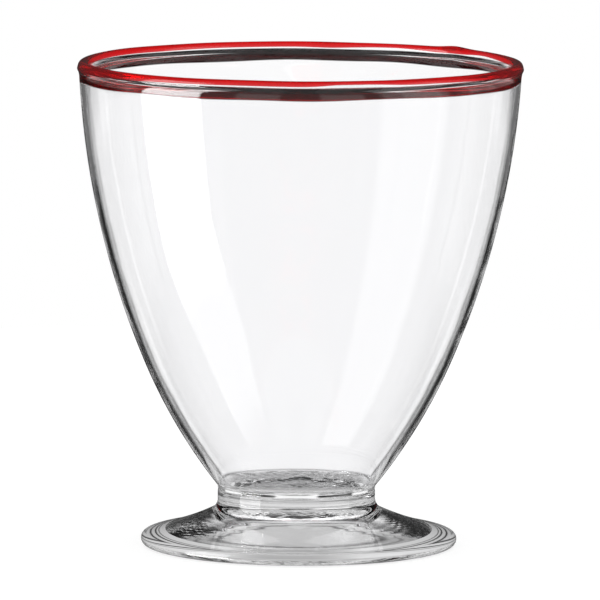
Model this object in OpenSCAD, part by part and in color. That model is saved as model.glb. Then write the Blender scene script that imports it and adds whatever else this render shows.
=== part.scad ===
// Parfait glass: a blown, flared bowl with a red lip wrap, on a short neck and a spread foot.
// Millimetres, +Z up, origin at the centre of the face that it rests on.
// Every piece is turned about Z from a section drawn as [distance from the axis, height].

/* [Overall] */
// Height from the table to the top of the lip
total_h = 109; // [97:1:123]
// Outside diameter across the lip
mouth_d = 100; // [90:1:112]

/* [Bowl] */
// How far the outer face of the wall lies inside the widest line of the lip
rim_set = 0.43; // [0.25:0.01:0.7]
// Thickness of the wall just under the lip
rim_t = 1.1; // [1:0.1:1.6]
// Thickness of the wall where it meets the floor
base_wall_t = 1.5; // [1.2:0.1:2.2]
// Thickness of the floor
floor_t = 2.1; // [1.6:0.1:4]
// Rounding inside, where the floor turns up into the wall
floor_corner_r = 1.6; // [0.8:0.1:3]
// Lean of the wall from the vertical at the lip, in degrees
rim_lean = 3; // [0:0.5:8]
// Lean of the wall from the vertical at the base, in degrees
base_lean = 38.5; // [34:0.5:44]
// Height of the upright ring that the bowl stands on
base_ring_h = 0.85; // [0.6:0.05:1.2]

/* [Lip wrap] */
// Thickness of the round lip, clear below and red above
bead_d = 2.9; // [2.4:0.1:3.6]
// Thickness of the red glass over the crown of the lip
cap_t = 0.8; // [0.5:0.05:1]
// How far down both sides of the lip the red glass comes
cap_drop = 1.15; // [1.05:0.05:1.5]
// Thickness of the red glass at those two lower edges
cap_edge_t = 0.2; // [0.15:0.05:0.4]
// Bare wall between the band and the crease under the lip
band_gap = 0.2; // [0.1:0.05:1]
// Height of the red band under the lip
band_h = 2; // [1.2:0.05:3]
// How deep the band is let into the wall
band_inlay = 0.6; // [0.3:0.05:0.8]
// How far the band stands out of the wall
band_proud = 0.1; // [0.05:0.01:0.2]

/* [Neck] */
// Diameter of the neck
neck_d = 35.4; // [30:0.2:42]
// Height of the glass button between the foot and the bowl
button_h = 2.1; // [1.2:0.1:5]
// Rounding of the two edges that meet in the crease under the bowl
crease_r = 0.35; // [0.2:0.05:0.5]

/* [Foot] */
// Diameter of the foot
foot_d = 71; // [62:1:84]
// Height of the foot, up to where it turns into the neck
foot_h = 10.3; // [9:0.1:12.5]
// Thickness of the rounded edge
foot_edge_t = 2.7; // [2.3:0.1:3.2]
// Radius of the hollow sweep of the upper face
sweep_r = 68; // [56:1:90]
// Rounding between the foot and the neck
neck_fillet_r = 2.8; // [1.5:0.1:3.6]
// Thickness of the foot between its upper face and the hollow under it
foot_t = 3.1; // [2.7:0.1:3.6]
// Slope of the hollow where its side turns over into its crown, in degrees
hollow_lean = 24; // [18:0.5:28]
// Depth ground off under the edge to make the flat resting ring
grind = 0.1; // [0.05:0.01:0.2]

/* [Hidden] */

clear_glass = [0.86, 0.91, 0.92, 0.4];
red_glass = [0.72, 0.04, 0.07];

// Facets of long arcs, of small rounds and of one full turn
arc_facets = 720;
round_facets = 96;
turn_facets = 180;

// Overrun of cuts past what they cut
overrun = 1;
// How far a rounding crosses the curve that it runs into, so that the two meet in a clean edge
blend_bite = 0.03;
// Length of the lower arc of the wall, as a share of the upper one
lower_arc_share = 0.5;

// Lip
bead_r = bead_d / 2;
bead_at = [mouth_d / 2 - bead_r, total_h - bead_r];
cap_z = total_h - cap_drop;
dome_half = sqrt(bead_r ^ 2 - (bead_r - cap_drop) ^ 2) - cap_edge_t;
dome_h = cap_drop - cap_t;
dome_r = (dome_half ^ 2 + dome_h ^ 2) / (2 * dome_h);
dome_at = [bead_at[0], total_h - cap_t - dome_r];
edge_z = bead_at[1] - bead_r / 2;
lip_crease_z = bead_at[1] - sqrt(bead_r ^ 2 - (bead_r - rim_set) ^ 2);
band_top_z = lip_crease_z - band_gap;
band_z = band_top_z - band_h;

// Bowl
neck_r = neck_d / 2;
seat_z = foot_h + button_h;
ring_top_z = seat_z + base_ring_h;
floor_z = seat_z + floor_t;
rim_r = mouth_d / 2 - rim_set;
floor_edge_r = neck_r + (floor_z - ring_top_z) * tan(base_lean) - base_wall_t / cos(base_lean);
outer_curve = wall_curve([neck_r, ring_top_z], [rim_r, edge_z]);
inner_curve = wall_curve([floor_edge_r, floor_z], [rim_r - rim_t, edge_z]);

// Round corner of the floor, set so that it just crosses the lower arc of the inside
corner_z = floor_z + floor_corner_r;
inner_low_r = curve_low_r(inner_curve);
inner_low_at = curve_joint(inner_curve) + inner_low_r * wall_inward(curve_lean(inner_curve));
corner_reach = inner_low_r - floor_corner_r + blend_bite;
corner_x = inner_low_at[0] + sqrt(corner_reach ^ 2 - (corner_z - inner_low_at[1]) ^ 2);
corner_end_z = corner_z - floor_corner_r * (inner_low_at[1] - corner_z) / corner_reach;

// Foot
edge_r = foot_edge_t / 2;
edge_at = [foot_d / 2 - edge_r, edge_r - grind];
fillet_at = [neck_r + neck_fillet_r, foot_h];
sweep_reach = sweep_r + edge_r;
fillet_reach = sweep_r - neck_fillet_r + blend_bite;
sweep_at = meet_above(fillet_at, fillet_reach, edge_at, sweep_reach);
sweep_turn = -atan2(sweep_at[0] - edge_at[0], sweep_at[1] - edge_at[1]);
fillet_end_x = sweep_at[0] + (fillet_at[0] - sweep_at[0]) * sweep_r / fillet_reach;
sweep_end_x = edge_at[0] - edge_r * sin(sweep_turn);

// Hollow under the foot: its side runs along the upper face, and its crown is a dome
hollow_reach = sweep_r + foot_t;
hollow_knee = sweep_at - hollow_reach * [sin(hollow_lean), cos(hollow_lean)];
hollow_end_x = sweep_at[0] - sqrt(hollow_reach ^ 2 - sweep_at[1] ^ 2);
crown_r = hollow_knee[0] / sin(hollow_lean);
crown_at = [0, hollow_knee[1] - crown_r * cos(hollow_lean)];

// Directions along a wall that leans out by this angle, and square to it towards the inside
function wall_along(lean) = [sin(lean), cos(lean)];
function wall_inward(lean) = [-cos(lean), sin(lean)];

// Radius of the arc that leaves start at this lean and passes through end
function arc_radius(start, lean, end) =
    let (chord = end - start)
    (chord * chord) / (2 * wall_inward(lean) * chord);

// Point above the line from a to b that lies this far from each of them
function meet_above(a, from_a, b, from_b) =
    let (span = b - a, gap = norm(span), unit = span / gap)
    let (along = (from_a ^ 2 - from_b ^ 2 + gap ^ 2) / (2 * gap))
    a + along * unit + sqrt(from_a ^ 2 - along ^ 2) * [-unit[1], unit[0]];

// Two arcs that run smoothly into each other from the base point low to the lip point high
function wall_curve(low, high) =
    let (share = lower_arc_share, span = high - low)
    let (up_low = wall_along(base_lean), up_high = wall_along(rim_lean))
    let (bend = 2 * share * (1 - up_low * up_high), pull = span * (share * up_low + up_high))
    let (reach = (sqrt(pull ^ 2 + bend * (span * span)) - pull) / bend)
    let (knee_low = low + share * reach * up_low, knee_high = high - reach * up_high)
    let (tangent = knee_high - knee_low, joint = knee_low + tangent * share / (1 + share))
    let (low_r = arc_radius(low, base_lean, joint), high_r = arc_radius(high, rim_lean, joint))
    [joint, atan2(tangent[0], tangent[1]), low_r, high_r];
function curve_joint(curve) = curve[0];
function curve_lean(curve) = curve[1];
function curve_low_r(curve) = curve[2];
function curve_high_r(curve) = curve[3];

// Disc whose edge is one arc of a wall, grown by a margin
module wall_disc(curve, radius, margin = 0) {
    translate(curve_joint(curve))
        rotate(-curve_lean(curve))
        translate([-radius, 0])
        circle(radius + margin, $fn = arc_facets);
}

// Slice of the section between two heights
module slice(bottom, top) {
    translate([0, bottom]) square([mouth_d, top - bottom]);
}

// All that lies inside a wall curve, between two heights
module inside_curve(curve, bottom, top) {
    joint_z = curve_joint(curve)[1];
    intersection() {
        wall_disc(curve, curve_high_r(curve));
        slice(joint_z, top);
    }
    intersection() {
        wall_disc(curve, curve_low_r(curve));
        slice(bottom, joint_z);
    }
}

// Quarter round that fills the corner between two edges
module quarter_round(radius) {
    intersection() {
        circle(radius, $fn = round_facets);
        square(radius);
    }
}

// Upright ring under the bowl, with its lower edge rounded into the crease
module base_ring_section() {
    translate([0, seat_z + crease_r]) square([neck_r, base_ring_h]);
    translate([0, seat_z]) square([neck_r - crease_r, crease_r]);
    translate([neck_r - crease_r, seat_z + crease_r]) mirror([0, 1]) quarter_round(crease_r);
}

// Space inside the bowl
module cavity_section() {
    inside_curve(inner_curve, corner_end_z, edge_z + overrun);
    translate([0, floor_z]) square([corner_x, floor_corner_r]);
    translate([corner_x, corner_z]) circle(floor_corner_r, $fn = round_facets);
}

// Band let into the wall, with both faces at one distance from it
module band_section() {
    high_r = curve_high_r(outer_curve);
    intersection() {
        difference() {
            wall_disc(outer_curve, high_r, band_proud);
            wall_disc(outer_curve, high_r, -band_inlay);
        }
        slice(band_z, band_top_z);
    }
}

module bead_disc() {
    translate(bead_at) circle(bead_r, $fn = round_facets);
}

// Domed crown of clear glass that carries the red cap
module dome_disc() {
    translate(dome_at) circle(dome_r, $fn = round_facets);
}

// Clear part of the round lip
module lip_section() {
    intersection() {
        bead_disc();
        union() {
            dome_disc();
            slice(0, cap_z);
        }
    }
}

module wall_section() {
    difference() {
        union() {
            inside_curve(outer_curve, seat_z + crease_r, edge_z);
            base_ring_section();
        }
        cavity_section();
    }
}

module bowl_section() {
    difference() {
        union() {
            wall_section();
            lip_section();
        }
        band_section();
    }
}

// Red glass that caps the lip, thick on the crown and thin at its two lower edges
module cap_section() {
    intersection() {
        difference() {
            bead_disc();
            dome_disc();
        }
        slice(cap_z, total_h + overrun);
    }
}

// Flat button of glass with its upper edge rounded into the crease
module button_section() {
    translate([0, foot_h]) square([neck_r, button_h - crease_r]);
    translate([0, seat_z - crease_r]) square([neck_r - crease_r, crease_r]);
    translate([neck_r - crease_r, seat_z - crease_r]) quarter_round(crease_r);
}

// Foot before its upper face and its underside are hollowed
module foot_blank_section() {
    square([sweep_end_x, foot_h]);
    intersection() {
        translate(edge_at) circle(edge_r, $fn = round_facets);
        square([foot_d, foot_h]);
    }
}

// Space under the foot, down past the table
module hollow_section() {
    difference() {
        translate([hollow_knee[0], -overrun])
            square([hollow_end_x - hollow_knee[0], hollow_knee[1] + overrun]);
        translate(sweep_at) circle(hollow_reach, $fn = arc_facets);
    }
    intersection() {
        translate(crown_at) circle(crown_r, $fn = arc_facets);
        translate([0, -overrun]) square([hollow_knee[0], foot_h + overrun]);
    }
}

module foot_section() {
    difference() {
        foot_blank_section();
        intersection() {
            translate(edge_at)
                rotate(sweep_turn)
                translate([0, sweep_reach])
                circle(sweep_r, $fn = arc_facets);
            translate([fillet_end_x, 0]) square([foot_d, foot_h + overrun]);
        }
        translate(fillet_at) circle(neck_fillet_r, $fn = round_facets);
        hollow_section();
    }
}

module turned() {
    rotate_extrude($fn = turn_facets) children();
}

module bowl() {
    color(clear_glass) turned() bowl_section();
}

module lip_bead() {
    color(red_glass) turned() cap_section();
}

module lip_band() {
    color(red_glass) turned() band_section();
}

module stem_button() {
    color(clear_glass) turned() button_section();
}

module foot() {
    color(clear_glass) turned() foot_section();
}

bowl();
lip_bead();
lip_band();
stem_button();
foot();
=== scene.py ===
import math

import bpy
import numpy as np
from mathutils import Matrix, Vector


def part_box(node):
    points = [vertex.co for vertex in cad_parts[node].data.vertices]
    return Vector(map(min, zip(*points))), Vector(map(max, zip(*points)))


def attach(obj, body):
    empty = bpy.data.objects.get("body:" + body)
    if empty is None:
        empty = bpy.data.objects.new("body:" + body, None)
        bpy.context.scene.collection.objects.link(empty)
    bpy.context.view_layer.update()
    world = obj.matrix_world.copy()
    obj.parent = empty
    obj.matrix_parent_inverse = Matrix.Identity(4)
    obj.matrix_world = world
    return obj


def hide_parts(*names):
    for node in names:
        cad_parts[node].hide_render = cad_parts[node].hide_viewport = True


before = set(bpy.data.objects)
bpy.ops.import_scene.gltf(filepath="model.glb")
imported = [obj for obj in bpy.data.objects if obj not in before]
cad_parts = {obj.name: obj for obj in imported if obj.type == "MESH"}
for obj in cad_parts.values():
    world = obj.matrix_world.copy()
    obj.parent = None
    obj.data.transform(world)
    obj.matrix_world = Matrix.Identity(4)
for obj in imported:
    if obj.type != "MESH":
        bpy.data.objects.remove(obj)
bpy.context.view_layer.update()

MM = 0.001

# Sizes of the glass that the frame holds, in millimetres
cap_low, cap_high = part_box("lip_bead")
band_low, band_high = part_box("lip_band")
bowl_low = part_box("bowl")[0]
button_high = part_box("stem_button")[1]
foot_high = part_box("foot")[1]
total_h = cap_high.z / MM
cap_z = cap_low.z / MM
band_top_z = band_high.z / MM
flare_z = band_low.z / MM
seat_z = bowl_low.z / MM
foot_h = foot_high.z / MM
neck_r = button_high.x / MM
foot_r = foot_high.x / MM

# Sizes that it doesn't hold, in millimetres, and angles
mouth_r = 50.0
bead_r = 1.45
cap_t = 0.8
cap_edge_t = 0.2
rim_set = 0.43
rim_t = 1.1
base_wall_t = 1.5
floor_t = 2.1
floor_corner_r = 1.6
rim_lean = math.radians(3.0)
base_lean = math.radians(38.5)
base_ring_h = 0.85
lower_arc_share = 0.5
band_inlay = 0.6
band_proud = 0.02
band_rise = 0.45
band_z = flare_z + band_rise
out_turn = math.radians(28.0)
in_turn = math.radians(35.0)
crease_r = 0.35
foot_edge_t = 2.7
sweep_r = 68.0
neck_fillet_r = 2.8
grind = 0.1
foot_t = 3.1
hollow_lean = math.radians(24.0)
hollow_shift = (-2.42, 0.69)
ground_r = 29.3

# Gap left between pieces that are fused, so that no two faces share a plane
fuse_gap = 0.004

# Lean of the bowl, and how far it stands aside of the foot's edge, from a low height on
bowl_tilt = math.radians(0.26)
bowl_aside = -0.57
aside_from_z = 2.6

# What a face of the glass is: polished, fused to another piece, or where the table shows
polished = 0
fused = 1
ground = 2

# Fineness of the meshes, with the steps along the hollow's crown, its side and its ground part
segments = 288
blend_count = 200
crown_steps = 49
side_steps = 39
ground_steps = 11
hollow_points = crown_steps + side_steps + ground_steps
sharp_turn = math.radians(40.0)
tiny = 1e-6


# Points of a section, each as distance from the axis and height
def point(r, z):
    return np.array([r, z], float)


def arc(centre, radius, start, end, count):
    turns = np.linspace(math.radians(start), math.radians(end), count)
    return np.stack([centre[0] + radius * np.cos(turns), centre[1] + radius * np.sin(turns)], axis=1)


def angle_to(centre, target):
    return math.degrees(math.atan2(target[1] - centre[1], target[0] - centre[0]))


def arc_between(centre, radius, start, end, count, extra_turn=0.0):
    return arc(centre, radius, angle_to(centre, start), extra_turn + angle_to(centre, end), count)


def line(start, end, count):
    share = np.linspace(0.0, 1.0, count)[:, None]
    return np.asarray(start)[None, :] * (1.0 - share) + np.asarray(end)[None, :] * share


# Point at given distances from two others, on the left of the way from the first to the second
def meet_above(a, from_a, b, from_b):
    span = b - a
    gap = np.hypot(span[0], span[1])
    unit = span / gap
    along = (from_a**2 - from_b**2 + gap**2) / (2.0 * gap)
    return a + along * unit + math.sqrt(from_a**2 - along**2) * point(-unit[1], unit[0])


# Wall of the bowl: two arcs that run smoothly into each other
class WallCurve:
    def __init__(self, low, high):
        share = lower_arc_share
        span = high - low
        up_low = point(math.sin(base_lean), math.cos(base_lean))
        up_high = point(math.sin(rim_lean), math.cos(rim_lean))
        bend = 2.0 * share * (1.0 - up_low @ up_high)
        pull = span @ (share * up_low + up_high)
        reach = (math.sqrt(pull**2 + bend * (span @ span)) - pull) / bend
        knee_low = low + share * reach * up_low
        knee_high = high - reach * up_high
        self.joint = knee_low + (knee_high - knee_low) * share / (1.0 + share)
        self.low = self.disc(low, base_lean)
        self.high = self.disc(high, rim_lean)

    def disc(self, start, lean):
        inward = point(-math.cos(lean), math.sin(lean))
        chord = self.joint - start
        radius = (chord @ chord) / (2.0 * inward @ chord)
        return start + radius * inward, radius

    def radius_at(self, z):
        centre, radius = self.high if z >= self.joint[1] else self.low
        return centre[0] + math.sqrt(radius**2 - (z - centre[1]) ** 2)

    def run(self, z_start, z_end, count):
        heights = np.linspace(z_start, z_end, count)
        return np.array([[self.radius_at(z), z] for z in heights])


# Smooth run between two points that leaves one and arrives at the other along given directions
def smooth_run(start, leave, end, arrive):
    share = np.linspace(0.0, 1.0, blend_count)[:, None]
    reach = np.hypot(*(end - start))
    at_start = 2.0 * share**3 - 3.0 * share**2 + 1.0
    off_start = share**3 - 2.0 * share**2 + share
    at_end = 3.0 * share**2 - 2.0 * share**3
    off_end = share**3 - share**2
    start_part = at_start * start + off_start * reach * leave
    end_part = at_end * end + off_end * reach * arrive
    return start_part + end_part


# Points of a curve at even heights
def run_at(curve, z_start, z_end, count, lift=0.0):
    heights = np.linspace(z_start, z_end, count)
    return np.stack([np.interp(heights, curve[:, 1], curve[:, 0]) + lift, heights], axis=1)


bead_at = point(mouth_r - bead_r, total_h - bead_r)
edge_z = bead_at[1] - bead_r / 2.0
cap_drop = total_h - cap_z
dome_half = math.sqrt(bead_r**2 - (bead_r - cap_drop) ** 2) - cap_edge_t
dome_h = cap_drop - cap_t
dome_r = (dome_half**2 + dome_h**2) / (2.0 * dome_h)
dome_at = point(bead_at[0], total_h - cap_t - dome_r)
ring_top_z = seat_z + base_ring_h
floor_z = seat_z + floor_t
rim_r = mouth_r - rim_set
floor_edge_r = neck_r + (floor_z - ring_top_z) * math.tan(base_lean) - base_wall_t / math.cos(base_lean)
outer = WallCurve(point(neck_r, ring_top_z), point(rim_r, edge_z))
inner = WallCurve(point(floor_edge_r, floor_z), point(rim_r - rim_t, edge_z))

# Both faces of the wall swell into the round lip
down_wall = point(-math.sin(rim_lean), -math.cos(rim_lean))
out_start = bead_at + bead_r * point(math.cos(out_turn), -math.sin(out_turn))
out_leave = point(-math.sin(out_turn), -math.cos(out_turn))
out_end = point(outer.radius_at(flare_z), flare_z)
out_blend = smooth_run(out_start, out_leave, out_end, down_wall)[::-1]
in_start = bead_at + bead_r * point(-math.cos(in_turn), -math.sin(in_turn))
in_leave = point(math.sin(in_turn), -math.cos(in_turn))
in_end = point(inner.radius_at(flare_z), flare_z)
in_blend = smooth_run(in_start, in_leave, in_end, down_wall)[::-1]


# Sections as runs of points, each with a mark that says what its faces are
def bowl_section():
    ledge = math.sqrt(bead_r**2 - (cap_z - bead_at[1]) ** 2)
    out_ledge = point(bead_at[0] + ledge, cap_z)
    in_ledge = point(bead_at[0] - ledge, cap_z)
    out_dome = point(bead_at[0] + dome_half, cap_z)
    in_dome = point(bead_at[0] - dome_half, cap_z)
    corner_z = floor_z + floor_corner_r
    centre, radius = inner.low
    corner_x = centre[0] + math.sqrt((radius - floor_corner_r) ** 2 - (corner_z - centre[1]) ** 2)
    corner_end = angle_to(centre, point(corner_x, corner_z))
    corner = arc(point(corner_x, corner_z), floor_corner_r, corner_end, -90.0, 14)
    groove_r = outer.radius_at((band_z + band_top_z) / 2.0) - band_inlay
    low_run = run_at(out_blend, flare_z, band_z, 6)
    top_run = run_at(out_blend, band_top_z, out_start[1], 14)
    return [
        (line(point(0.0, seat_z), point(neck_r - crease_r, seat_z), 12), fused),
        (arc(point(neck_r - crease_r, seat_z + crease_r), crease_r, -90.0, 0.0, 9), polished),
        (line(point(neck_r, seat_z + crease_r), point(neck_r, ring_top_z), 5), polished),
        (outer.run(ring_top_z, flare_z, 150), polished),
        (low_run, polished),
        (line(low_run[-1], point(groove_r, band_z), 4), fused),
        (line(point(groove_r, band_z), point(groove_r, band_top_z), 7), fused),
        (line(point(groove_r, band_top_z), top_run[0], 4), fused),
        (top_run, polished),
        (arc_between(bead_at, bead_r, out_start, out_ledge, 24), polished),
        (line(out_ledge, out_dome, 3), fused),
        (arc_between(dome_at, dome_r, out_dome, in_dome, 19), fused),
        (line(in_dome, in_ledge, 3), fused),
        (arc_between(bead_at, bead_r, in_ledge, in_start, 24, 360.0), polished),
        (run_at(in_blend, in_start[1], flare_z, 30), polished),
        (inner.run(flare_z, corner[0][1], 150), polished),
        (corner, polished),
        (line(point(corner_x, floor_z), point(0.0, floor_z), 30), polished),
    ]


def cap_section():
    ledge = math.sqrt(bead_r**2 - (cap_z - bead_at[1]) ** 2)
    low = cap_z + fuse_gap
    out_ledge = point(bead_at[0] + ledge, low)
    in_ledge = point(bead_at[0] - ledge, low)
    out_dome = point(bead_at[0] + dome_half, low)
    in_dome = point(bead_at[0] - dome_half, low)
    lifted = dome_at + point(0.0, fuse_gap)
    return [
        (arc_between(bead_at, bead_r, out_ledge, in_ledge, 41), polished),
        (line(in_ledge, in_dome, 3), fused),
        (arc(lifted, dome_r, angle_to(dome_at, in_dome), angle_to(dome_at, out_dome), 19), fused),
        (line(out_dome, out_ledge, 3), fused),
    ]


def band_section():
    low = band_z + fuse_gap
    top = band_top_z - fuse_gap
    groove_r = outer.radius_at((band_z + band_top_z) / 2.0) - band_inlay + fuse_gap
    face = run_at(out_blend, low, top, 21, band_proud)
    return [
        (face, polished),
        (line(face[-1], point(groove_r, top), 4), fused),
        (line(point(groove_r, top), point(groove_r, low), 7), fused),
        (line(point(groove_r, low), face[0], 4), fused),
    ]


def button_section():
    top = seat_z - fuse_gap
    low = foot_h + fuse_gap
    rounding = arc(point(neck_r - crease_r, top - crease_r), crease_r, 0.0, 90.0, 9)
    return [
        (line(point(0.0, low), point(neck_r, low), 14), fused),
        (line(point(neck_r, low), point(neck_r, top - crease_r), 10), polished),
        (rounding, polished),
        (line(point(neck_r - crease_r, top), point(0.0, top), 12), fused),
    ]


def foot_section():
    edge_r = foot_edge_t / 2.0
    edge_at = point(foot_r - edge_r, edge_r - grind)
    fillet_at = point(neck_r + neck_fillet_r, foot_h)
    sweep_at = meet_above(fillet_at, sweep_r - neck_fillet_r, edge_at, sweep_r + edge_r)
    under_r = sweep_r + foot_t
    under_at = sweep_at + hollow_shift
    knee = under_at - under_r * point(math.sin(hollow_lean), math.cos(hollow_lean))
    dome_top_r = knee[0] / math.sin(hollow_lean)
    hollow_at = point(0.0, knee[1] - dome_top_r * math.cos(hollow_lean))
    hollow_end = point(under_at[0] - math.sqrt(under_r**2 - under_at[1] ** 2), 0.0)
    ground_turn = -math.degrees(math.acos((ground_r - under_at[0]) / under_r))
    flat_end = point(edge_at[0] + math.sqrt(edge_r**2 - edge_at[1] ** 2), 0.0)
    to_sweep = angle_to(edge_at, sweep_at)
    sweep_start = angle_to(sweep_at, edge_at)
    fillet_start = angle_to(sweep_at, fillet_at)
    return [
        (arc(hollow_at, dome_top_r, 90.0, angle_to(hollow_at, knee), crown_steps + 1), polished),
        (arc(under_at, under_r, angle_to(under_at, knee), ground_turn, side_steps + 1), polished),
        (arc(under_at, under_r, ground_turn, angle_to(under_at, hollow_end), ground_steps + 1), ground),
        (line(hollow_end, flat_end, 8), ground),
        (arc(edge_at, edge_r, angle_to(edge_at, flat_end), to_sweep, 40), polished),
        (arc(sweep_at, sweep_r, sweep_start, fillet_start, 80), polished),
        (arc(fillet_at, neck_fillet_r, fillet_start, -180.0, 22), polished),
        (line(point(neck_r, foot_h), point(0.0, foot_h), 14), fused),
    ]


# One closed mesh turned about the axis, bent a little by hand, with its materials in the order of the marks
def turned(name, runs, hand, glass, weld=None, table_face=None, reflection_cut=None):
    points = []
    marks = []
    for run, mark in runs:
        start = 1 if points else 0
        for place in run[start:]:
            points.append(place)
        marks += [mark] * (len(run) - 1)
    points = np.array(points)
    ring = bool(np.hypot(*(points[0] - points[-1])) < tiny)
    if ring:
        points = points[:-1]
    count = len(points)
    turns = np.arange(segments) * 2.0 * math.pi / segments
    r = np.repeat(points[:, 0][:, None], segments, axis=1)
    z = np.repeat(points[:, 1][:, None], segments, axis=1)
    a = np.repeat(turns[None, :], count, axis=0)
    bent_r, bent_z = hand(r, z, a)
    tilt = np.maximum(bent_z - foot_h, 0.0) * math.tan(bowl_tilt)
    aside = bowl_aside * np.clip((bent_z - aside_from_z) / (foot_h - aside_from_z), 0.0, 1.0)
    x = bent_r * np.cos(a) + tilt + aside
    y = bent_r * np.sin(a)
    places = np.stack([x, y, bent_z], axis=2)
    on_axis = points[:, 0] < tiny
    index = np.zeros((count, segments), int)
    verts = []
    for i in range(count):
        first = len(verts)
        if on_axis[i]:
            verts.append(places[i].mean(axis=0))
            index[i] = first
        else:
            verts.extend(places[i])
            index[i] = np.arange(first, first + segments)
    faces = []
    face_marks = []
    last = count if ring else count - 1
    for i in range(last):
        j = (i + 1) % count
        for k in range(segments):
            m = (k + 1) % segments
            corners = [index[i][k], index[i][m], index[j][m], index[j][k]]
            if on_axis[i]:
                corners = [index[i][k], index[j][m], index[j][k]]
            if on_axis[j]:
                corners = [index[i][k], index[i][m], index[j][k]]
            faces.append([int(c) for c in corners])
            face_marks.append(marks[i])
    mesh = bpy.data.meshes.new(name)
    mesh.from_pydata((np.array(verts) * MM).tolist(), [], faces)
    mesh.materials.append(glass)
    if weld is None:
        fused_and_cut_share = mesh.attributes.new("fused", "FLOAT", "FACE")
        shares = np.array(face_marks, np.float32)
        # Painted shade: where a reflection cut is given, the face is made partly clear there as well
        if reflection_cut is not None:
            shares = np.maximum(shares, np.tile(reflection_cut(turns), last))
        fused_and_cut_share.data.foreach_set("value", shares)
    else:
        mesh.materials.append(weld)
        if table_face is not None:
            mesh.materials.append(table_face)
        mesh.polygons.foreach_set("material_index", np.array(face_marks, np.int32))
    mesh.polygons.foreach_set("use_smooth", np.ones(len(faces), bool))
    mesh.set_sharp_from_angle(angle=sharp_turn)
    mesh.update()
    piece = bpy.data.objects.new(name, mesh)
    bpy.context.scene.collection.objects.link(piece)
    return piece


# Soft rise round an angle, with its width, both in degrees
def bump_at(a, place, width):
    turn = np.angle(np.exp(1j * (a - math.radians(place))))
    return np.exp(-0.5 * (turn / math.radians(width)) ** 2)


# Waves round the axis, each with its height, count and start
def waves_round(a, waves):
    total = np.zeros_like(a)
    for height, count, start in waves:
        total = total + height * np.sin(count * a + start)
    return total


# Ends of the band with painted shade: there its face is made partly clear, so that it mirrors less: angle,
# width and depth
band_reflection_cuts = (
    (203.0, 11.0, 1.2),
    (-23.0, 13.0, 0.85),
)
reflection_cut_limit = 0.6


# Painted shade at the band's ends: share by which the face is made clear there, which takes out its
# reflection
def painted_reflection_cut(a):
    share = np.zeros_like(a)
    for place, width, depth in band_reflection_cuts:
        share = share + depth * np.clip(bump_at(a, place, width), 0.0, reflection_cut_limit)
    return share


def untouched(r, z, a):
    return r, z


# Places round the lip where the edge of the red glass runs higher or lower: angle, width and rise
cap_edge_spots = (
    (-73.0, 6.0, 0.4),
    (-81.0, 3.0, 0.2),
    (82.0, 4.0, -0.15),
    (65.0, 8.0, 0.3),
    (44.0, 5.0, -0.3),
    (29.0, 6.0, 0.3),
    (135.0, 14.0, -0.15),
    (197.0, 19.0, -0.6),
    (-14.0, 16.0, -0.6),
)
cap_edge_reach = 0.45
band_edge_reach = 0.5
band_edge_waves = ((0.1, 5.0, 1.0), (0.08, 11.0, 2.0))
lip_waves = ((0.05, 3.0, 0.7), (0.05, 7.0, 2.1), (0.03, 13.0, 0.3))
lip_wave_share = 0.6
lip_wave_z = flare_z - 6.0
lip_wave_grows = 5.0
knob_turn = 43.8
knob_width = 3.4
knob_h = 0.42


# Lip drawn up and down, as a thread laid on by hand is
def lip_hand(r, z, a):
    near = np.clip((z - lip_wave_z) / lip_wave_grows, 0.0, 1.0)
    wave = waves_round(a, lip_waves)
    crown = np.clip((z - (total_h - 2.0 * bead_r)) / (2.0 * bead_r), 0.0, 1.0)
    knob = knob_h * bump_at(a, knob_turn, knob_width)
    at_cap_edge = np.exp(-(((z - cap_z) / cap_edge_reach) ** 2))
    cap_edge = np.zeros_like(a)
    for place, width, rise in cap_edge_spots:
        cap_edge = cap_edge + rise * bump_at(a, place, width)
    at_band_edge = np.exp(-(((z - band_z) / band_edge_reach) ** 2))
    band_edge = waves_round(a, band_edge_waves)
    lip_wave = lip_wave_share * near * wave
    return r, z + lip_wave + crown * knob + at_cap_edge * cap_edge + at_band_edge * band_edge


# Ripples on the floor of the bowl: height, and the radius where they end with the width of the fade
ripple_h = 0.05
ripple_r = 15.0
ripple_fade = 2.0
floor_margin = 0.01


# Bowl with its lip drawn by hand and ripples on its floor
def bowl_hand(r, z, a):
    fade = np.clip((ripple_r - r) / ripple_fade, 0.0, 1.0)
    on_floor = np.where(np.abs(z - floor_z) < floor_margin, fade, 0.0)
    x = r * np.cos(a)
    y = r * np.sin(a)
    swirl = np.sin(1.3 * x + 0.9 * np.sin(0.8 * y + 0.5))
    swirl = swirl + np.sin(1.1 * y + 1.2 * np.sin(0.7 * x + 1.0) + 2.0)
    swirl = swirl + 0.6 * np.sin(1.9 * x - 1.4 * y + 0.6) + 0.5 * np.sin(2.3 * y + 1.7 * x + 1.9)
    drawn_r, drawn_z = lip_hand(r, z, a)
    return drawn_r, drawn_z + ripple_h * on_floor * swirl


# Places in the hollow of the foot with chill marks: angle, width, radius, spread and share
chill_spots = (
    (200.0, 9.0, 25.5, 3.2, 1.0),
    (-14.0, 6.0, 22.0, 2.5, 0.6),
)
chill_h = 0.009
long_ripple_h = 0.002
short_ripple_h = 0.0015
rippled_from_r = 1.0
rippled_to_r = 30.0
rippled_fade = 3.0


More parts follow.
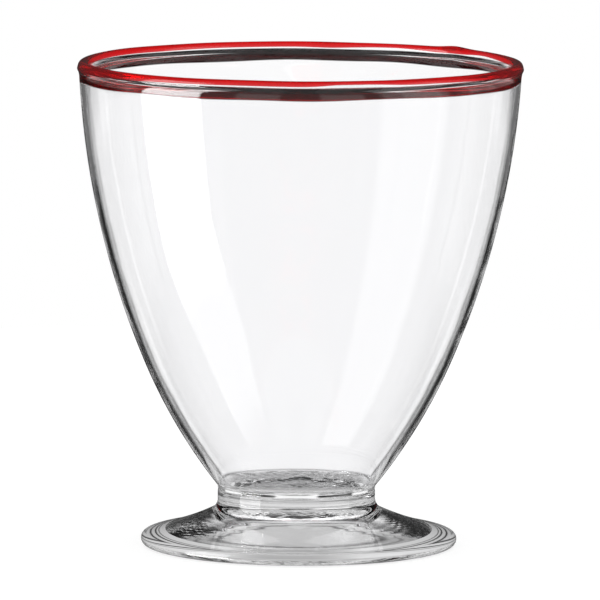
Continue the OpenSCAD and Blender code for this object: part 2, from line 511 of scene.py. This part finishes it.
# Foot with ripples in its hollow, where the glass chilled
def foot_hand(r, z, a):
    under = np.zeros_like(r)
    under[:hollow_points] = 1.0
    off_edge = np.clip((rippled_to_r - r) / rippled_fade, 0.0, 1.0)
    off_axis = np.clip((r - rippled_from_r) / rippled_fade, 0.0, 1.0)
    ripple = long_ripple_h * np.sin(r * 1.9 + 1.6 * np.sin(2.0 * a + 0.4) + 0.8 * np.sin(5.0 * a))
    short_swing = 2.4 * np.sin(3.0 * a + 1.0) + 1.3 * np.sin(7.0 * a + 2.0)
    ripple = ripple + short_ripple_h * np.sin(r * 3.7 + short_swing)
    chill = np.sin(r * 4.9 + 27.0 * a) + np.sin(r * 6.1 - 43.0 * a + 1.0) + np.sin(r * 3.1 + 61.0 * a + 2.0)
    chilled = np.zeros_like(r)
    for place, width, at_r, spread, share in chill_spots:
        chilled = chilled + share * bump_at(a, place, width) * np.exp(-(((r - at_r) / spread) ** 2))
    ripple = ripple + chill_h * chill * chilled
    return r, z + under * off_edge * off_axis * ripple


# Shader building blocks
def add_node(tree, kind, **settings):
    node = tree.nodes.new(kind)
    for key, value in settings.items():
        setattr(node, key, value)
    return node


def feed(tree, socket, value):
    if isinstance(value, bpy.types.NodeSocket):
        tree.links.new(value, socket)
    else:
        socket.default_value = value


def calc(tree, operation, *values):
    node = add_node(tree, "ShaderNodeMath", operation=operation)
    for socket, value in zip(node.inputs, values):
        feed(tree, socket, value)
    return node.outputs[0]


# Smooth step from 0 at the start to 1 at the end
def ease(tree, value, start, end):
    node = add_node(tree, "ShaderNodeMapRange", interpolation_type="SMOOTHSTEP")
    feed(tree, node.inputs["Value"], value)
    node.inputs["From Min"].default_value = start
    node.inputs["From Max"].default_value = end
    return node.outputs["Result"]


# Glass whose face has slow waves, with their size and depth in millimetres
def glass_material(name, colour, roughness, wave_size, wave_depth):
    material = bpy.data.materials.new(name)
    material.use_nodes = True
    tree = material.node_tree
    shader = tree.nodes["Principled BSDF"]
    shader.inputs["Transmission Weight"].default_value = 1.0
    shader.inputs["IOR"].default_value = glass_ior
    shader.inputs["Roughness"].default_value = roughness
    shader.inputs["Base Color"].default_value = (*colour, 1.0)
    places = add_node(tree, "ShaderNodeTexCoord")
    noise = add_node(tree, "ShaderNodeTexNoise")
    noise.inputs["Scale"].default_value = 1.0 / (wave_size * MM)
    noise.inputs["Detail"].default_value = 2.0
    tree.links.new(places.outputs["Object"], noise.inputs["Vector"])
    bump = add_node(tree, "ShaderNodeBump")
    bump.inputs["Strength"].default_value = 1.0
    bump.inputs["Distance"].default_value = wave_depth * MM
    tree.links.new(noise.outputs["Fac"], bump.inputs["Height"])
    tree.links.new(bump.outputs["Normal"], shader.inputs["Normal"])
    return material


# Red glass takes more from the light, the longer its way through it, and its fused faces don't show; the
# band's ends with painted shade are made partly clear by the same share
def fill_red(material, colour, clearness):
    tree = material.node_tree
    shader = tree.nodes["Principled BSDF"]
    shader.inputs["Transmission Weight"].default_value = clearness
    fused_and_cut_share = add_node(tree, "ShaderNodeAttribute", attribute_name="fused")
    clear = add_node(tree, "ShaderNodeBsdfTransparent")
    joined = add_node(tree, "ShaderNodeMixShader")
    tree.links.new(fused_and_cut_share.outputs["Fac"], joined.inputs["Fac"])
    tree.links.new(shader.outputs["BSDF"], joined.inputs[1])
    tree.links.new(clear.outputs["BSDF"], joined.inputs[2])
    tree.links.new(joined.outputs["Shader"], tree.nodes["Material Output"].inputs["Surface"])
    inside = add_node(tree, "ShaderNodeVolumeAbsorption")
    inside.inputs["Color"].default_value = (*colour, 1.0)
    inside.inputs["Density"].default_value = red_density
    tree.links.new(inside.outputs["Volume"], tree.nodes["Material Output"].inputs["Volume"])


# Face between two fused pieces of clear glass, which doesn't show
def weld_material(name):
    material = bpy.data.materials.new(name)
    material.use_nodes = True
    tree = material.node_tree
    tree.nodes.remove(tree.nodes["Principled BSDF"])
    clear = add_node(tree, "ShaderNodeBsdfTransparent")
    tree.links.new(clear.outputs["BSDF"], tree.nodes["Material Output"].inputs["Surface"])
    return material


# Glass of the pieces, with colour, roughness, and size and depth of the waves
glass_ior = 1.5
table_face_ior = 1.01
clear_colour = (0.985, 0.985, 0.992)
cap_face_colour = (0.55, 0.03, 0.035)
cap_colour = (0.987, 0.02, 0.07)
cap_clearness = 0.8
band_face_colour = (0.6, 0.2, 0.2)
band_colour = (0.985, 0.02, 0.07)
band_clearness = 0.95
red_density = 4000.0
clear_glass = glass_material("clear_glass", clear_colour, 0.0, 14.0, 0.04)
foot_glass = glass_material("foot_glass", clear_colour, 0.0, 8.0, 0.006)
cap_glass = glass_material("red_glass", cap_face_colour, 0.0, 6.0, 0.03)
fill_red(cap_glass, cap_colour, cap_clearness)
band_glass = glass_material("red_band_glass", band_face_colour, 0.0, 6.0, 0.03)
fill_red(band_glass, band_colour, band_clearness)
ground_glass = glass_material("ground_glass", clear_colour, 0.03, 3.0, 0.01)
ground_glass.node_tree.nodes["Principled BSDF"].inputs["IOR"].default_value = table_face_ior
weld = weld_material("fused_joint")

# The five pieces
bowl = turned("bowl_glass", bowl_section(), bowl_hand, clear_glass, weld)
cap = turned("lip_bead_glass", cap_section(), lip_hand, cap_glass)
# Band, with painted shade at its ends where its reflection is taken out
band = turned("lip_band_glass", band_section(), lip_hand, band_glass, reflection_cut=painted_reflection_cut)
button = turned("stem_button_glass", button_section(), untouched, clear_glass, weld)
foot = turned("foot_glass", foot_section(), foot_hand, foot_glass, weld, ground_glass)

for piece, node, slot in (
    (bowl, "bowl", "clear_glass"),
    (cap, "lip_bead", "red_glass"),
    (band, "lip_band", "red_glass"),
    (button, "stem_button", "clear_glass"),
    (foot, "foot", "clear_glass"),
):
    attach(piece, "root")
    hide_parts(node)


# Round sheet of the stage that glows by itself, a little under the foot
def stage_disc(name, radius, drop, colour, glow):
    place = (0.0, 0.0, -drop)
    bpy.ops.mesh.primitive_circle_add(vertices=128, radius=radius, fill_type="NGON", location=place)
    disc = bpy.context.object
    disc.name = name
    material = bpy.data.materials.new(name)
    material.use_nodes = True
    shader = material.node_tree.nodes["Principled BSDF"]
    shader.inputs["Base Color"].default_value = colour
    shader.inputs["Roughness"].default_value = 0.9
    shader.inputs["Specular IOR Level"].default_value = 0.0
    shader.inputs["Emission Color"].default_value = (1.0, 1.0, 1.0, 1.0)
    shader.inputs["Emission Strength"].default_value = glow
    disc.data.materials.append(material)
    return disc


# White table that the camera sees, with the shadow of the glass
table_r = 0.4
table_drop = 0.0002
table_grey = (0.35, 0.35, 0.35, 1.0)
table_glow = 0.75
table = stage_disc("table", table_r, table_drop, table_grey, table_glow)
table.visible_transmission = False
table.visible_glossy = False

# Lit patch of the table under the glass, seen only through the glass
patch_r = 0.05
patch_drop = 0.0001
patch_black = (0.0, 0.0, 0.0, 1.0)
patch_light = 0.76
patch = stage_disc("lit_patch", patch_r, patch_drop, patch_black, patch_light)
patch.visible_camera = False
patch.visible_diffuse = False
patch.visible_glossy = False
patch.visible_shadow = False

# Shadows on it where the foot stands and under its hollow: radius, half width and depth of each
contact_rings = (
    (33.9, 0.3, 0.6),
    (32.75, 0.45, 0.97),
    (31.5, 0.4, 0.98),
    (30.7, 0.25, 0.85),
    (23.0, 1.0, 0.45),
    (18.6, 2.4, 0.7),
)

# Soft shade at the front of the foot, and one under all of its hollow
front_turn = math.radians(-4.0)
front_dark_half = math.radians(8.0)
front_half = math.radians(36.0)
front_r = 27.8 * MM
front_dark_reach = 1.2 * MM
front_reach = 4.0 * MM
front_depth = 0.4
hollow_dark_r = 23.0 * MM
hollow_shade_r = 29.0 * MM
hollow_depth = 0.2


def darken(tree, light, shade):
    return calc(tree, "MULTIPLY", calc(tree, "SUBTRACT", 1.0, shade), light)


tree = patch.data.materials[0].node_tree
places = add_node(tree, "ShaderNodeTexCoord")
distance = add_node(tree, "ShaderNodeVectorMath", operation="LENGTH")
tree.links.new(places.outputs["Object"], distance.inputs[0])
from_axis = distance.outputs["Value"]
for ring_r, ring_half, depth in contact_rings:
    away = calc(tree, "ABSOLUTE", calc(tree, "SUBTRACT", from_axis, ring_r * MM))
    ring_shade = calc(tree, "MULTIPLY", ease(tree, away, ring_half * MM, 0.0), depth)
    patch_light = darken(tree, patch_light, ring_shade)
split = add_node(tree, "ShaderNodeSeparateXYZ")
tree.links.new(places.outputs["Object"], split.inputs["Vector"])
around = calc(tree, "ARCTAN2", split.outputs["X"], calc(tree, "MULTIPLY", split.outputs["Y"], -1.0))
off_front = calc(tree, "ABSOLUTE", calc(tree, "SUBTRACT", around, front_turn))
at_front = ease(tree, off_front, front_half, front_dark_half)
off_edge = calc(tree, "ABSOLUTE", calc(tree, "SUBTRACT", from_axis, front_r))
at_edge = ease(tree, off_edge, front_reach, front_dark_reach)
front_shade = calc(tree, "MULTIPLY", calc(tree, "MULTIPLY", at_front, at_edge), front_depth)
hollow_shade = calc(tree, "MULTIPLY", ease(tree, from_axis, hollow_shade_r, hollow_dark_r), hollow_depth)
patch_light = darken(tree, patch_light, front_shade)
patch_light = darken(tree, patch_light, hollow_shade)
tree.links.new(patch_light, tree.nodes["Principled BSDF"].inputs["Emission Strength"])

# Studio round the glass: white where the camera looks, bands of white and dark for what the glass bends
world = bpy.data.worlds.new("studio")
bpy.context.scene.world = world
world.use_nodes = True
tree = world.node_tree
background = tree.nodes["Background"]
places = add_node(tree, "ShaderNodeTexCoord")
split = add_node(tree, "ShaderNodeSeparateXYZ")
tree.links.new(places.outputs["Generated"], split.inputs["Vector"])
x, y, z = split.outputs
azimuth = calc(tree, "ARCTAN2", x, calc(tree, "MULTIPLY", y, -1.0))
elevation = calc(tree, "ARCSINE", z)
turned_away = calc(tree, "ABSOLUTE", azimuth)
path = add_node(tree, "ShaderNodeLightPath")


# Smooth steps over the elevation and over the turn away from the camera's side, in degrees
def over_height(start, end):
    return ease(tree, elevation, math.radians(start), math.radians(end))


def over_turn(start, end):
    return ease(tree, turned_away, math.radians(start), math.radians(end))


# Windows all round below the horizon, with grey between them
window_step = math.radians(45.0)
window_half = math.radians(10.7)
window_soft = math.radians(1.5)
side_level = 0.2
folded = calc(tree, "PINGPONG", azimuth, window_step / 2.0)
in_window = ease(tree, folded, window_half + window_soft, window_half - window_soft)
between = calc(tree, "SUBTRACT", 1.0, in_window)
below = over_height(1.0, -3.0)
far_table = over_height(-11.0, -9.5)
side_grey = calc(tree, "MULTIPLY", calc(tree, "MULTIPLY", far_table, side_level), between)
window = calc(tree, "MULTIPLY", calc(tree, "ADD", in_window, side_grey), below)


# Soft box between two azimuths and two elevations, in degrees, measured from the camera's side
def soft_box(left, right, low, high, soft, across=azimuth):
    rise = ease(tree, across, math.radians(left - soft), math.radians(left + soft))
    fall = ease(tree, across, math.radians(right + soft), math.radians(right - soft))
    bottom = over_height(low - soft, low + soft)
    top = over_height(high + soft, high - soft)
    return calc(tree, "MULTIPLY", calc(tree, "MULTIPLY", rise, fall), calc(tree, "MULTIPLY", bottom, top))


def sum_of(*parts):
    total = parts[0]
    for part in parts[1:]:
        total = calc(tree, "ADD", total, part)
    return total


def lit(level, shape):
    return calc(tree, "MULTIPLY", shape, level)


# Lamps and cards of the studio
lean_in = over_height(-25.0, -47.0)
leaning = calc(tree, "SUBTRACT", azimuth, lit(math.radians(12.0), lean_in))
lamp_high = over_height(-36.0, -24.0)
lamp_low = over_height(-66.0, -50.0)
left_fade = calc(tree, "ADD", lit(0.9, lamp_high), lit(0.1, lamp_low))
left_lamp = calc(tree, "MULTIPLY", soft_box(-91.0, -54.0, -85.0, -9.0, 1.5, leaning), left_fade)
left_upper = soft_box(-91.0, -54.0, -9.0, 42.0, 1.5)
right_card = soft_box(44.0, 84.0, -75.0, 40.0, 3.0)
back_lamp = sum_of(soft_box(-172.0, -150.0, 2.0, 62.0, 3.0), soft_box(150.0, 172.0, 2.0, 62.0, 3.0))
front_room = soft_box(-105.0, 105.0, -95.0, 95.0, 6.0)

# Table as the glass mirrors it, brighter between the windows and at the sides
not_behind = over_turn(155.0, 140.0)
aside = over_turn(85.0, 105.0)
near_table = over_height(-22.0, -30.0)
far_only = calc(tree, "SUBTRACT", 1.0, near_table)
near_side = calc(tree, "MULTIPLY", aside, calc(tree, "ADD", lit(0.8, far_only), 0.2))
table_below = over_height(-7.5, -11.0)
gap_shine = calc(tree, "MULTIPLY", between, calc(tree, "ADD", lit(0.7, far_only), 0.25))
table_level = calc(tree, "MULTIPLY", calc(tree, "ADD", gap_shine, near_side), not_behind)
table_shine = calc(tree, "MULTIPLY", table_below, table_level)

# What the glass bends and what it mirrors, as sums of these with their levels
behind = over_turn(158.0, 166.0)
high = over_height(36.5, 39.5)
near_gaps = calc(tree, "MULTIPLY", between, near_table)
room_dark = 0.015
room_back = 0.04
seen_through = sum_of(
    lit(1.04, window),
    lit(0.75, near_gaps),
    lit(1.2, back_lamp),
    lit(1.0, calc(tree, "MULTIPLY", behind, high)),
    room_dark,
)
mirrored = sum_of(
    lit(16.0, left_lamp),
    lit(4.0, left_upper),
    lit(1.2, right_card),
    lit(0.3, front_room),
    table_shine,
    room_back,
)

# All other light finds a plain white studio
plain = 1.0
is_through = path.outputs["Is Transmission Ray"]
is_mirrored = calc(tree, "SUBTRACT", path.outputs["Is Glossy Ray"], is_through)
light = calc(tree, "MULTIPLY", is_through, calc(tree, "SUBTRACT", seen_through, plain))
shine = calc(tree, "MULTIPLY", is_mirrored, calc(tree, "SUBTRACT", mirrored, plain))
strength = calc(tree, "ADD", calc(tree, "ADD", light, shine), plain)
background.inputs["Color"].default_value = (1.0, 1.0, 1.0, 1.0)
tree.links.new(strength, background.inputs["Strength"])

# Camera at the photo's angle
camera_data = bpy.data.cameras.new("camera")
camera = bpy.data.objects.new("camera", camera_data)
bpy.context.scene.collection.objects.link(camera)
bpy.context.scene.camera = camera
camera_back = 1.9645
camera_pitch = math.radians(6.848)
aim_z = 0.0551
camera.location = (0.0, -camera_back, aim_z + camera_back * math.tan(camera_pitch))
camera_roll = math.radians(0.3)
pitched = Matrix.Rotation(math.radians(90.0) - camera_pitch, 3, "X")
camera.rotation_euler = (pitched @ Matrix.Rotation(camera_roll, 3, "Z")).to_euler()
camera_data.sensor_width = 36.0
camera_data.lens = 528.9
camera_data.shift_x = 0.0002
camera_data.clip_end = 50.0

# Colours as they are written, and light paths long enough for the glass
scene = bpy.context.scene
scene.view_settings.view_transform = "Standard"
most_bounces = 9
scene.cycles.max_bounces = most_bounces
scene.cycles.transmission_bounces = most_bounces
scene.cycles.glossy_bounces = most_bounces
scene.cycles.transparent_max_bounces = 48
